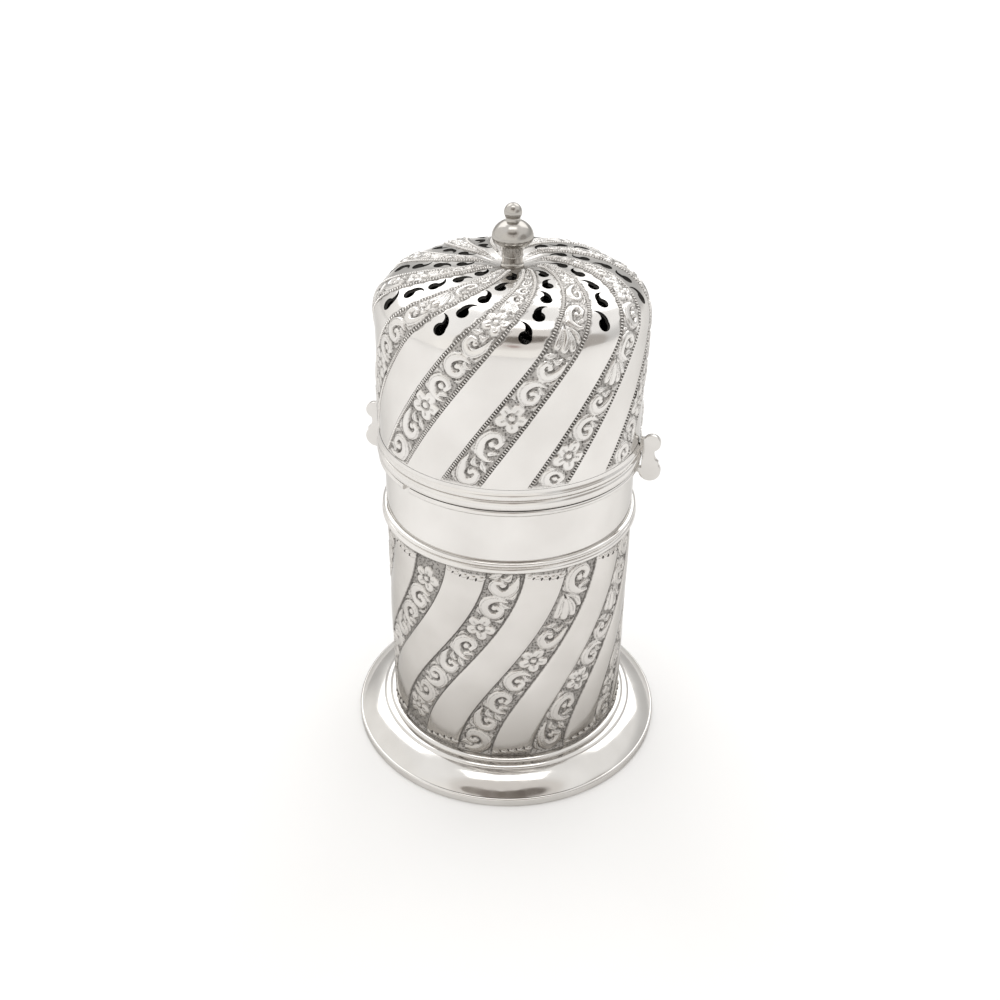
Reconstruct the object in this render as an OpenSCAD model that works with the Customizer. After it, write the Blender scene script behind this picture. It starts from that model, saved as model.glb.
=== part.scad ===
// Sugar caster: a swirl-chased barrel on a spreading foot, under a pierced and domed cover.
// The cover plugs into the body and locks by turning: its two lugs hook under the body's lip.
// Millimetres, +Z up, origin at the centre of the foot's underside, lugs on the X axis when locked.

/* [Foot] */
// How far the foot spreads past the barrel
foot_spread = 9.3; // [8:0.1:13]
// Height of the foot's sheet where it meets the barrel
foot_h = 5.6; // [5:0.1:8]
// Thickness of the foot's sheet
foot_sheet = 0.8; // [0.6:0.1:1.2]
// Height of the edge wire that the foot stands on
foot_edge_h = 2.1; // [1.4:0.1:2.6]
// Radial width of the edge wire
foot_edge_w = 1.4; // [1.2:0.1:2]
// Radial width of the hollow curve beside the bead
foot_cove_w = 2.2; // [1.5:0.1:3]
// Drop of the hollow curve
foot_cove_drop = 0.8; // [0.4:0.1:1.2]
// Diameter of the bead wire between foot and barrel
foot_bead_d = 1.4; // [1:0.1:2]

/* [Barrel] */
// Radius of the barrel at its plain ends, and of the collar
barrel_r = 28.2; // [24:0.1:36]
// Height of the barrel, from its lower edge up to the collar
barrel_h = 56; // [45:0.5:75]
// Thickness of the barrel's sheet under the chased bands
barrel_sheet = 0.6; // [0.5:0.1:1]
// Depth of the chased bands below the barrel's plain ends
chase_depth = 0.4; // [0.2:0.05:0.6]
// Swell of the plain bands above the barrel's plain ends
plain_swell = 0.2; // [0.1:0.05:0.5]
// Turn of the swirl from the bottom of the barrel to its top, in degrees
barrel_turn = 50.5; // [30:0.5:65]
// Share of the swirl's S shape: 0 is a straight lean
barrel_ogee = 0.29; // [0:0.01:0.32]
// Thickness of the plate that closes the barrel's bottom
base_sheet = 0.8; // [0.6:0.1:1.5]

/* [Collar and lip] */
// Height of the plain collar above the barrel
collar_h = 13.2; // [11:0.1:20]
// Thickness of the collar's sheet
collar_sheet = 0.8; // [0.6:0.1:1.2]
// Width of the girdle wire that covers the joint of barrel and collar
girdle_w = 2.9; // [2:0.1:4]
// How far the girdle wire stands out from the barrel
girdle_out = 1.1; // [0.8:0.1:1.5]
// Height of the lip at the collar's mouth
lip_h = 1.2; // [0.8:0.1:2]
// How far the lip stands out from the collar
lip_out = 1.3; // [1.1:0.1:1.8]

/* [Cover] */
// How far the cover's wall stands out from the barrel
cover_out = 0.8; // [0.7:0.05:1]
// Thickness of the cover's sheet
cover_sheet = 0.8; // [0.6:0.1:1]
// Height of the cover's straight wall
cover_wall_h = 30.9; // [24:0.1:45]
// Height of the dome above the straight wall
dome_h = 12.4; // [10:0.1:18]
// Squareness of the dome's shoulder: 2 is an ellipse
dome_power = 2.7; // [2:0.05:3.2]
// Depth of the hollow round the finial
crown_dip = 1.7; // [0.5:0.1:2.5]
// Radius of the hollow round the finial
crown_dip_r = 9; // [7:0.5:12]
// Lean of the swirl at the foot of the cover's wall, in degrees per millimetre
cover_lean = 1.22; // [0.8:0.01:1.5]
// Gain of the lean along the wall and dome, in degrees per square millimetre
cover_lean_gain = 0.0095; // [0:0.0005:0.012]
// Swell of the chased bands above the cover's wall
chase_swell = 0.3; // [0.1:0.05:0.4]
// Hollow of the plain bands below the cover's wall
plain_hollow = 0.1; // [0:0.05:0.2]

/* [Cover moulding and bezel] */
// Height of the moulding round the foot of the cover
moulding_h = 4.8; // [4:0.1:6]
// Height of the moulding's lower half-round
torus_h = 2.3; // [2:0.1:2.6]
// How far the lower half-round stands out from the cover's wall
torus_out = 0.75; // [0.6:0.05:0.9]
// Height of the moulding's upper bead
bead_h = 1.4; // [1:0.1:1.6]
// How far the upper bead stands out from the cover's wall
bead_out = 0.5; // [0.4:0.05:0.6]
// How deep the bezel plugs into the body, below the seam
bezel_depth = 5; // [3:0.5:8]
// Thickness of the bezel's sheet
bezel_sheet = 0.6; // [0.5:0.1:0.8]
// How far the bezel lies along the inside of the cover's wall
bezel_seat_h = 4; // [2:0.5:6]

/* [Bands and piercings] */
// Number of chased bands, with a plain band after each
bands = 10; // [6:1:14]
// Share of the pitch that a chased band takes
chased_share = 0.47; // [0.4:0.01:0.55]
// Number of pierced commas in each plain band of the dome
commas = 5; // [3:1:6]
// Radius of the head of the lowest comma
comma_head = 1.35; // [0.8:0.05:1.5]
// Radius of the head of the highest comma
comma_head_top = 1.1; // [0.6:0.05:1.2]
// Run up the dome's curve to the head of the lowest comma
comma_first = 6.7; // [6:0.1:8]
// Run from one comma's head to the next
comma_step = 4.45; // [4:0.05:4.6]

/* [Bayonet] */
// Turn that brings the lugs from locked to the lip's notches, in degrees
unlock_turn = 55; // [30:1:90]
// Thickness of a lug
lug_t = 1.2; // [0.8:0.1:2]
// Radius of a lug's upper lobe
lug_upper_r = 1.95; // [1.6:0.05:2.4]
// Radius of a lug's lower lobe
lug_lower_r = 2.45; // [2:0.05:3]
// Height between the centres of a lug's lobes
lug_span = 6.8; // [5.5:0.1:8]
// Width of a lug's waist
lug_waist_w = 2.6; // [2:0.1:3.2]
// How far a lug's toe reaches in under the lip
toe_reach = 0.6; // [0.4:0.05:0.9]
// Height of a lug's toe
toe_h = 1.2; // [0.8:0.1:2]

/* [Finial] */
// Radius of the ball at the top
ball_r = 1.85; // [1.2:0.05:3]
// Radius of the neck under the ball
neck_r = 1.5; // [0.9:0.05:1.6]
// Height of the neck between bun and ball
neck_h = 0.6; // [0.3:0.1:3]
// Radius of the bun
bun_r = 4.3; // [3.5:0.1:6]
// Height of the bun's upper part, above its widest place
bun_top_h = 3.6; // [2.5:0.1:5]
// Height of the bun's lower part
bun_low_h = 2.3; // [1.5:0.1:3]
// Radius of the stem under the bun
stem_r = 2.1; // [1.6:0.05:2.15]
// Height of the stem, up to the bun
stem_h = 3.9; // [3:0.1:8]
// Radius of the stem's foot and of its ring
stem_foot_r = 2.4; // [2.2:0.05:2.6]
// Radius of the tang that passes through the dome
tang_r = 1; // [0.7:0.05:1.2]
// Size of the nut across its flats
nut_flats = 4; // [3:0.1:5]
// Height of the nut
nut_h = 1.6; // [1:0.1:2.5]

/* [Fits] */
// Gap between soldered pieces
solder_gap = 0.05; // [0.02:0.01:0.1]
// Gap between the cover's moulding and the lip it sits on
seam_gap = 0.2; // [0.1:0.05:0.4]
// Running gap between the bezel and the collar
bezel_gap = 0.2; // [0.1:0.05:0.3]
// Gap between a lug and the lip, and beside a lug in its notch
lug_gap = 0.4; // [0.3:0.05:0.6]
// Gap between the tang and the hole in the dome
tang_gap = 0.15; // [0.05:0.05:0.3]

/* [Hidden] */
$fn = 96;

silver = [0.86, 0.85, 0.83];
bright = [0.92, 0.91, 0.90];
shaded = [0.70, 0.69, 0.67];

// Heights, from the floor up
barrel_z = foot_h - foot_sheet;
chase_low_z = foot_h + foot_bead_d;
joint_z = barrel_z + barrel_h;
chase_high_z = joint_z - girdle_w / 2;
lip_z = joint_z + collar_h;
cover_z = lip_z + lip_h + seam_gap;
bezel_step_z = cover_z + lug_gap;
bezel_top_z = bezel_step_z + bezel_seat_h;
spring_z = cover_z + cover_wall_h;
ornament_z = cover_z + moulding_h;

// Radii
foot_r = barrel_r + foot_spread;
barrel_bore_r = barrel_r - chase_depth - barrel_sheet;
collar_bore_r = barrel_r - collar_sheet;
lip_r = barrel_r + lip_out;
cover_r = barrel_r + cover_out;
cover_bore_r = cover_r - cover_sheet;
bezel_r = collar_bore_r - bezel_gap;
tang_hole_r = tang_r + tang_gap;
torus_r = cover_r + torus_out;
bead_r = cover_r + bead_out;

// Bands: angles are measured from the middle of a chased band
pitch = 360 / bands;
half_chased = chased_share * pitch / 2;
half_plain = pitch / 2 - half_chased;
barrel_phase = 4.8;
cover_phase = 12.9 - pitch / 2;
cover_phase_run = 20.6;
band_step = 0.9;
fade_h = 1.2;
barrel_rows = 14;
comma_lean = [-4, 32];
comma_offset = 0.5;
waist_share = 0.62;
girdle_share = 0.6;
girdle_step = 0.15;
wall_rows = 6;
dome_rows = 12;
bore_rows = 9;

// A smooth step from 0 to 1
function ease(x) = let (u = max(0, min(1, x))) u * u * (3 - 2 * u);

// One band's section as [angle, height] pairs: sunk chasing and swelling plain bands on the barrel
function barrel_section() = [
    for (q = [-1, 0, 1]) [q * half_chased, -chase_depth],
    [half_chased + band_step, 0],
    for (q = [-0.5, 0, 0.5]) [pitch / 2 + q * half_plain, plain_swell * (1 - q * q)],
    [pitch - half_chased - band_step, 0]];

// The cover's bands are the other way round: swelling chasing between hollow plain bands
function cover_section() = [
    for (q = [-1, -0.85, -0.4, 0, 0.4, 0.85]) [q * half_chased, chase_swell * (1 - pow(abs(q), 6))],
    for (q = [-1, -0.4, 0.4]) [pitch / 2 + q * half_plain, -plain_hollow * (1 - q * q)]];

// A ring of points: the section's relief is added along the normal of a profile point
function ring(profile, normal, turn, section, relief) = [
    for (b = [0:bands - 1], c = section)
        let (a = b * pitch + c[0] + turn, p = profile + normal * c[1] * relief)
            [p[0] * cos(a), p[0] * sin(a), p[1]]];

// How much wider a bore's corners lie, so that the middles of its flats keep the bore's radius
function corner_share(section) = let (
    n = len(section),
    steps = [for (i = [0:n - 1]) i + 1 < n
        ? section[i + 1][0] - section[i][0] : pitch + section[0][0] - section[i][0]])
    1 / cos(max(steps) / 2);

// A closed skin over rings of equal length: the last ring joins the first
module ring_skin(rings) {
    m = len(rings);
    n = len(rings[0]);
    points = [for (r = rings) each r];
    faces = [for (i = [0:m - 1], j = [0:n - 1])
        let (k = (j + 1) % n, a = i * n, b = (i + 1) % m * n)
            each [[a + j, b + j, a + k], [a + k, b + j, b + k]]];
    polyhedron(points, faces, convexity = 8);
}

// The barrel's swirl: an S that leans most at half height
function barrel_swirl(z) = let (
    u = (2 * z - chase_low_z - chase_high_z) / (chase_high_z - chase_low_z),
    v = max(-1, min(1, u)))
    barrel_phase + barrel_turn / 2 * (v - barrel_ogee * v * v * v) / (1 - barrel_ogee);

function barrel_relief(z) = ease((z - chase_low_z) / fade_h) * ease((chase_high_z - z) / fade_h);

// The dome's half section: a superellipse with a hollow round the finial
function dip(r) = r < crown_dip_r ? crown_dip * pow(1 - pow(r / crown_dip_r, 2), 2) : 0;
function dome_point(t, inset) = let (
    r = (cover_r - inset) * pow(cos(t), 2 / dome_power),
    z = (dome_h - inset) * pow(sin(t), 2 / dome_power))
    [r, spring_z + z - dip(r)];
function dome_end(inset) = acos(pow(tang_hole_r / (cover_r - inset), dome_power / 2));
function dome_curve(inset, rows) = [for (i = [1:rows]) dome_point(dome_end(inset) * i / rows, inset)];

// The cover's outer and inner half sections, from the seam to the finial's hole
bands_z = ornament_z + fade_h;
cover_outer = [[cover_r, cover_z], [cover_r, ornament_z],
    for (i = [0:wall_rows]) [cover_r, bands_z + (spring_z - bands_z) * i / wall_rows],
    each dome_curve(0, dome_rows)];
cover_inner = [[cover_bore_r, cover_z],
    for (i = [0:3]) [cover_bore_r, bezel_top_z + (spring_z - bezel_top_z) * i / 3],
    each dome_curve(cover_sheet, bore_rows)];

// Running length along a half section
function run_lengths(p) = [for (i = 0, s = 0; i < len(p);
    s = s + (i + 1 < len(p) ? norm(p[i + 1] - p[i]) : 0), i = i + 1) s];
function cover_swirl(s) = let (u = s - moulding_h, v = cover_phase_run - moulding_h)
    cover_phase + cover_lean * (u - v) + cover_lean_gain / 2 * (u * u - v * v);

// Outward normal of a half section at one of its points
function section_normal(p, i) = let (
    d = p[min(i + 1, len(p) - 1)] - p[max(i - 1, 0)])
    [d[1], -d[0]] / norm(d);

cover_runs = run_lengths(cover_outer);
cover_relief = [for (p = cover_outer)
    ease((p[1] - ornament_z) / fade_h) * ease((p[0] - stem_foot_r) / (2 * stem_foot_r))];

// Dome angle at a run up the dome's curve
dome_angles = [for (i = [0:dome_rows]) dome_end(0) * i / dome_rows];
dome_runs = run_lengths([for (t = dome_angles) dome_point(t, 0)]);
function dome_angle(run) = lookup(run, [for (i = [0:dome_rows]) [dome_runs[i], dome_angles[i]]]);

// Wire of half-round section that stands out from a wall, between two heights
module half_round(wall_r, out, z, h) {
    sag_r = (out * out + h * h / 4) / (2 * out);
    rotate_extrude()
        intersection() {
            translate([wall_r + out - sag_r, z + h / 2])
                circle(sag_r);
            translate([wall_r + solder_gap, z])
                square([out, h]);
        }
}

// Tube between two radii
module tube(outer_r, inner_r, z, h) {
    translate([0, 0, z])
        difference() {
            cylinder(r = outer_r, h = h);
            translate([0, 0, -1])
                cylinder(r = inner_r, h = h + 2);
        }
}

// Foot

// Edge wire with a rounded outer face
module foot_rim() {
    round_r = foot_edge_h / 2;
    color(silver)
        rotate_extrude() {
            translate([foot_r - foot_edge_w, 0])
                square([foot_edge_w - round_r / 2, foot_edge_h]);
            translate([foot_r - round_r, 0])
                intersection() {
                    translate([0, round_r])
                        circle(round_r);
                    square([round_r, foot_edge_h]);
                }
        }
}

// Spun sheet: a hollow curve beside the bead, then a round shoulder down to the edge wire
module foot_flange() {
    inner_r = barrel_r + solder_gap;
    cove_r = inner_r + foot_bead_d;
    shoulder_r = cove_r + foot_cove_w;
    seat_z = foot_edge_h + solder_gap;
    shoulder_w = foot_r - foot_edge_h / 4 - shoulder_r;
    shoulder_h = foot_h - foot_cove_drop - seat_z;
    steps = 8;
    function cove(inset) = [for (i = [0:steps]) let (t = 90 * i / steps)
        [cove_r + foot_cove_w * (1 - cos(t)) - inset * cos(t), foot_h - inset - foot_cove_drop * sin(t)]];
    function shoulder(inset) = [for (i = [1:steps]) let (t = 90 * i / steps)
        [shoulder_r + (shoulder_w - inset) * sin(t), seat_z + (shoulder_h - inset) * cos(t)]];
    function under(p) = [for (i = [len(p) - 1:-1:0]) p[i]];
    color(bright)
        rotate_extrude()
            polygon([
                [inner_r, foot_h], each cove(0), each shoulder(0),
                each under(shoulder(foot_sheet)), each under(cove(foot_sheet)),
                [inner_r, foot_h - foot_sheet]]);
}

module foot_bead() {
    color(silver)
        half_round(barrel_r, foot_bead_d, foot_h + solder_gap, foot_bead_d - solder_gap);
}

module base_plate() {
    color(shaded)
        translate([0, 0, barrel_z])
            cylinder(r = barrel_bore_r - solder_gap, h = base_sheet);
}

// Body

// Chased wall: swirling bands, plain at both ends
module barrel() {
    rise = chase_high_z - chase_low_z - 2 * fade_h;
    outer_z = [barrel_z, chase_low_z,
        for (i = [0:barrel_rows]) chase_low_z + fade_h + rise * i / barrel_rows,
        chase_high_z, joint_z];
    inner_z = [for (i = [len(outer_z) - 1:-2:0]) outer_z[i]];
    bore_r = barrel_bore_r * corner_share(barrel_section());
    color(silver)
        ring_skin([
            for (z = outer_z)
                ring([barrel_r, z], [1, 0], barrel_swirl(z), barrel_section(), barrel_relief(z)),
            for (z = inner_z)
                ring([bore_r, z], [1, 0], barrel_swirl(z), barrel_section(), 0)]);
}

// Two half-round reeds drawn in one wire, over the joint of barrel and collar
module girdle_wire() {
    low_z = joint_z - girdle_w / 2;
    reed_h = girdle_share * girdle_w;
    color(bright) {
        half_round(barrel_r, girdle_out, low_z, reed_h);
        half_round(barrel_r, girdle_out - girdle_step, low_z + reed_h, girdle_w - reed_h);
        tube(barrel_r + girdle_out / 2, barrel_r + solder_gap, low_z + reed_h / 2, girdle_w / 2);
    }
}

module collar() {
    color(bright)
        tube(barrel_r, collar_bore_r, joint_z, collar_h);
}

// Flanged mouth with a notch for each lug
module lip() {
    notch_w = lug_t + 2 * lug_gap;
    notch_r = lip_r - toe_reach - lug_gap;
    color(silver)
        difference() {
            union() {
                tube(lip_r - lip_h / 4, collar_bore_r, lip_z, lip_h);
                half_round(lip_r - lip_h / 4 - solder_gap, lip_h / 4 + solder_gap, lip_z, lip_h);
            }
            for (side = [0, 180])
                rotate([0, 0, unlock_turn + side])
                    translate([notch_r, -notch_w / 2, lip_z - 1])
                        cube([lip_out + 1, notch_w, lip_h + 2]);
        }
}

// Cover

// Comma: a round head, and a tail between two arcs that ends in a point. Sizes are in head radii
module comma(head) {
    back = [-0.7, 0.8];
    back_r = 1.75;
    belly = [-1, 1.5];
    belly_r = 1;
    tail_h = 2.8;
    circle(head, $fn = 24);
    intersection() {
        difference() {
            translate(back * head)
                circle(back_r * head, $fn = 64);
            translate(belly * head)
                circle(belly_r * head, $fn = 32);
        }
        translate([back[0] * head, 0])
            square([back_r, tail_h] * head);
    }
}

// Commas climb each plain band, their tails turning to either side in turn
module piercings() {
    for (i = [0:commas - 1]) {
        run = comma_first + comma_step * i;
        t = dome_angle(run);
        p = dome_point(t, 0);
        d = dome_point(t + 1, 0) - dome_point(t - 1, 0);
        slope = atan2(d[1], -d[0]);
        turn = cover_swirl(cover_wall_h + run);
        head = comma_head + (comma_head_top - comma_head) * i / (commas - 1);
        side = i % 2;
        for (b = [0:bands - 1])
            rotate([0, 0, turn + (b + 0.5) * pitch])
                translate([p[0], -comma_offset * (1 - i / (commas - 1)), p[1]])
                    rotate([0, slope, 0])
                        rotate([0, 0, 90])
                            mirror([side, 0, 0])
                                rotate([0, 0, comma_lean[side]])
                                    linear_extrude(5 * cover_sheet, center = true)
                                        comma(head);
    }
}

module cover_shell() {
    outer = [for (i = [0:len(cover_outer) - 1])
        let (normal = section_normal(cover_outer, i), turn = cover_swirl(cover_runs[i]))
            ring(cover_outer[i], normal, turn, cover_section(), cover_relief[i])];
    inner_runs = run_lengths(cover_inner);
    inner_share = cover_runs[len(cover_runs) - 1] / inner_runs[len(inner_runs) - 1];
    wider = corner_share(cover_section());
    inner = [for (i = [len(cover_inner) - 1:-1:0])
        let (corner = [cover_inner[i][0] * wider, cover_inner[i][1]],
            run = max(inner_runs[i], bezel_top_z - cover_z))
            ring(corner, [0, 0], cover_swirl(run * inner_share), cover_section(), 0)];
    color(silver)
        difference() {
            ring_skin(concat(outer, inner));
            piercings();
        }
}

// Drawn wire round the cover's foot: a half-round, a bead and a hollow up to the wall
module cover_moulding() {
    cove_h = moulding_h - torus_h - bead_h;
    cove_z = cover_z + torus_h + bead_h;
    color(bright) {
        half_round(cover_r, torus_out, cover_z, torus_h);
        half_round(cover_r, bead_out, cover_z + torus_h, bead_h);
        tube(cover_r + bead_out / 2, cover_r + solder_gap, cover_z + torus_h / 2, torus_h / 2 + bead_h);
        rotate_extrude()
            translate([cover_r + solder_gap, cove_z])
                difference() {
                    square([bead_out / 2 - solder_gap, cove_h]);
                    translate([cove_h + solder_gap, cove_h])
                        circle(cove_h);
                }
    }
}

// Inner sleeve: soldered inside the cover's wall, then stepped in to plug the body's mouth
module cover_bezel() {
    seat_r = cover_bore_r - solder_gap;
    inner_r = bezel_r - bezel_sheet;
    low_z = lip_z + lip_h - bezel_depth;
    ledge_z = bezel_step_z + bezel_sheet;
    color(shaded)
        rotate_extrude()
            polygon([
                [inner_r, low_z], [bezel_r, low_z], [bezel_r, bezel_step_z], [seat_r, bezel_step_z],
                [seat_r, bezel_top_z], [seat_r - bezel_sheet, bezel_top_z],
                [seat_r - bezel_sheet, ledge_z], [inner_r, ledge_z]]);
}

// Lug: a flat ear in a radial plane, with a tab on the moulding and a toe under the lip
module lug() {
    edge_r = max(lip_r, torus_r) + lug_gap;
    low_z = lip_z - lug_gap - toe_h / 2;
    lower = [edge_r + lug_lower_r - toe_reach, low_z];
    upper = [edge_r + lug_upper_r, low_z + lug_span];
    waist_r = (lug_span + lug_upper_r) / 4;
    shank_w = 1.5 * lug_lower_r;
    tab_z = cover_z + torus_h;
    tab_h = 1.6 * lug_upper_r;
    rotate([90, 0, 0])
        linear_extrude(lug_t, center = true)
            difference() {
                union() {
                    translate(upper)
                        circle(lug_upper_r);
                    translate(lower)
                        circle(lug_lower_r);
                    difference() {
                        translate([edge_r, low_z])
                            square([shank_w, lug_span]);
                        translate([edge_r + lug_waist_w + waist_r, low_z + waist_share * lug_span])
                            circle(waist_r);
                    }
                    translate([bead_r + solder_gap, tab_z])
                        square([edge_r - bead_r + lug_upper_r, tab_h]);
                    translate([lip_r - toe_reach + toe_h / 2, low_z])
                        circle(toe_h / 2);
                    translate([lip_r - toe_reach + toe_h / 2, low_z - toe_h / 2])
                        square([lug_lower_r, toe_h]);
                }
                translate([0, lip_z - lug_gap])
                    square([edge_r, tab_z - lip_z + lug_gap]);
            }
}

module lug_right() {
    color(bright)
        lug();
}

module lug_left() {
    color(bright)
        rotate([0, 0, 180])
            lug();
}

// Finial

finial_z = dome_point(acos(pow(stem_foot_r / cover_r, dome_power / 2)), 0)[1] + solder_gap;
crown_inner_z = dome_point(dome_end(cover_sheet), cover_sheet)[1];

// Height on a half ellipse at a distance from its middle
function ellipse_h(half_w, h, x) = h * sqrt(1 - x * x / (half_w * half_w));

// Turned knob: ball, neck, bun and ringed stem on a tang
module finial() {
    bun_z = finial_z + stem_h + ellipse_h(bun_r, bun_low_h, stem_r);
    neck_z = bun_z + ellipse_h(bun_r, bun_top_h, neck_r);
    ring_h = 0.5;
    color(bright) {
        translate([0, 0, finial_z])
            cylinder(r1 = stem_foot_r, r2 = stem_r, h = stem_h / 4);
        translate([0, 0, finial_z])
            cylinder(r = stem_r, h = bun_z - finial_z);
        translate([0, 0, finial_z + stem_h / 2])
            rotate_extrude()
                translate([stem_r, 0])
                    circle(stem_foot_r - stem_r, $fn = 24);
        translate([0, 0, bun_z])
            rotate_extrude()
                polygon([for (a = [-90:5:90]) [bun_r * cos(a), (a < 0 ? bun_low_h : bun_top_h) * sin(a)]]);
        translate([0, 0, bun_z])
            cylinder(r = neck_r, h = neck_z - bun_z + neck_h + ball_r);
        translate([0, 0, neck_z + neck_h + sqrt(ball_r * ball_r - neck_r * neck_r)])
            sphere(ball_r);
        translate([0, 0, crown_inner_z - solder_gap - nut_h - ring_h])
            cylinder(r = tang_r, h = finial_z - crown_inner_z + solder_gap + nut_h + 2 * ring_h);
    }
}

// Hexagon nut on the tang, under the dome
module finial_nut() {
    color(shaded)
        translate([0, 0, crown_inner_z - solder_gap - nut_h])
            difference() {
                cylinder(r = nut_flats / sqrt(3), h = nut_h, $fn = 6);
                translate([0, 0, -1])
                    cylinder(r = tang_r + solder_gap, h = nut_h + 2);
            }
}

foot_rim();
foot_flange();
foot_bead();
base_plate();
barrel();
girdle_wire();
collar();
lip();
cover_shell();
cover_moulding();
cover_bezel();
lug_right();
lug_left();
finial();
finial_nut();
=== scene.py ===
"""Looks of a silver sugar caster: chased bands, turned wires and knob, silver finishes and studio light."""
import math
import bmesh
import bpy
import numpy as np
from mathutils import Matrix, Vector
from mathutils.geometry import delaunay_2d_cdt


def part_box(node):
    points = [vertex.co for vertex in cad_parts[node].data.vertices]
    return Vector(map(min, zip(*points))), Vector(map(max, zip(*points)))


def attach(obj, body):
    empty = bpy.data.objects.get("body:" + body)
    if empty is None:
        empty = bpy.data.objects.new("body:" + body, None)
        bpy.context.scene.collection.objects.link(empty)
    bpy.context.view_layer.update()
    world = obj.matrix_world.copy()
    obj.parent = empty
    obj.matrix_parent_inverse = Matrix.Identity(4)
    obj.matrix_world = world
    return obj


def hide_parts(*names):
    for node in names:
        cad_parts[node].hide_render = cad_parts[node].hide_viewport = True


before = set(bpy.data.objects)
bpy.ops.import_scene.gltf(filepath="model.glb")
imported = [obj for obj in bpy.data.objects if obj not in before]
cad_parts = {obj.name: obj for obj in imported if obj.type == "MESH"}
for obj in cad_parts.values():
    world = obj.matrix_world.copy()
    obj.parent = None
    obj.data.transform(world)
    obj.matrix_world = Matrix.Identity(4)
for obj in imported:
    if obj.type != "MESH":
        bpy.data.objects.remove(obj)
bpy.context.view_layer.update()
MM = 0.001


# Sizes in millimetres: those of the solids, but for the foot's skirt and slopes, which are finer here
def node_box(node):
    """Lowest and highest corner of a solid, in millimetres."""
    low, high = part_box(node)
    return np.array(low) / MM, np.array(high) / MM


solder_gap = 0.05
foot_r = node_box("foot_rim")[1][0]
foot_edge_h = node_box("foot_rim")[1][2]
foot_edge_w = 1.4
foot_h = node_box("foot_flange")[1][2]
foot_sheet = 0.8
foot_bead_d = 1.4
skirt_w = 1.55
skirt_h = 0.7
foot_slopes = (14, 47)

barrel_r = node_box("collar")[1][0]
barrel_z = node_box("barrel")[0][2]
joint_z = node_box("barrel")[1][2]
barrel_bore_r = 27.2
girdle_w = 2.9
girdle_out = 1.1
girdle_share = 0.6
girdle_step = 0.15
collar_sheet = 0.8
lip_z = node_box("lip")[0][2]

cover_z = node_box("cover_shell")[0][2]
cover_r = barrel_r + 0.8
cover_sheet = 0.8
spring_z = cover_z + 30.9
dome_h = 12.4
dome_power = 2.7
crown_dip = 1.7
crown_dip_r = 9.0
moulding_h = 4.8
torus_h = 2.3
torus_out = 0.75
moulding_bead_h = 1.4
moulding_bead_out = 0.5

ball_r = 1.85
neck_r = 1.5
neck_h = 0.6
bun_r = 4.3
bun_top_h = 3.6
bun_low_h = 2.3
stem_r = 2.1
stem_h = 3.9
stem_foot_r = 2.4
finial_top = node_box("finial")[1][2]

# Bands: angles in degrees from the middle of a chased band
bands = 10
pitch = 360 / bands
half_chased = 0.47 * pitch / 2
half_plain = pitch / 2 - half_chased
chase_low_z = foot_h + foot_bead_d
chase_high_z = joint_z - girdle_w / 2
chase_depth = 0.4
plain_swell = 0.2
plain_hollow = 0.1
fade_h = 1.2
barrel_phase = 4.8
barrel_turn = 50.5
barrel_ogee = 0.29
cover_phase = 12.9 - pitch / 2
cover_phase_run = 20.6
cover_lean = 1.22
cover_lean_gain = 0.0095

# Piercings
commas = 5
comma_head = 1.35
comma_head_top = 1.1
comma_first = 6.7
comma_step = 4.45
comma_lean = (-4, 32)
comma_offset = 0.5
comma_back = np.array([-0.7, 0.8])
comma_back_r = 1.75
comma_belly = np.array([-1.0, 1.5])
comma_belly_r = 1.0
comma_clear = 0.12
patch_below = 2.4
patch_above = 3.6
patch_step = 0.8
patch_clear = 0.3


def ease(x):
    """Smooth step from 0 to 1."""
    u = np.clip(x, 0, 1)
    return u * u * (3 - 2 * u)


# Materials: noise scales are per metre
patch_scale = 70
wave_scale = 110
gloss_scale = 320
stipple_scale = 2000
rub_scale = 2600
rub_share = 0.02
bump_depth = 0.08 * MM
edge_tint = (0.66, 0.655, 0.645, 1)


def link(tree, source, target):
    """Joins two sockets of a node tree."""
    tree.links.new(source, target)


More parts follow.
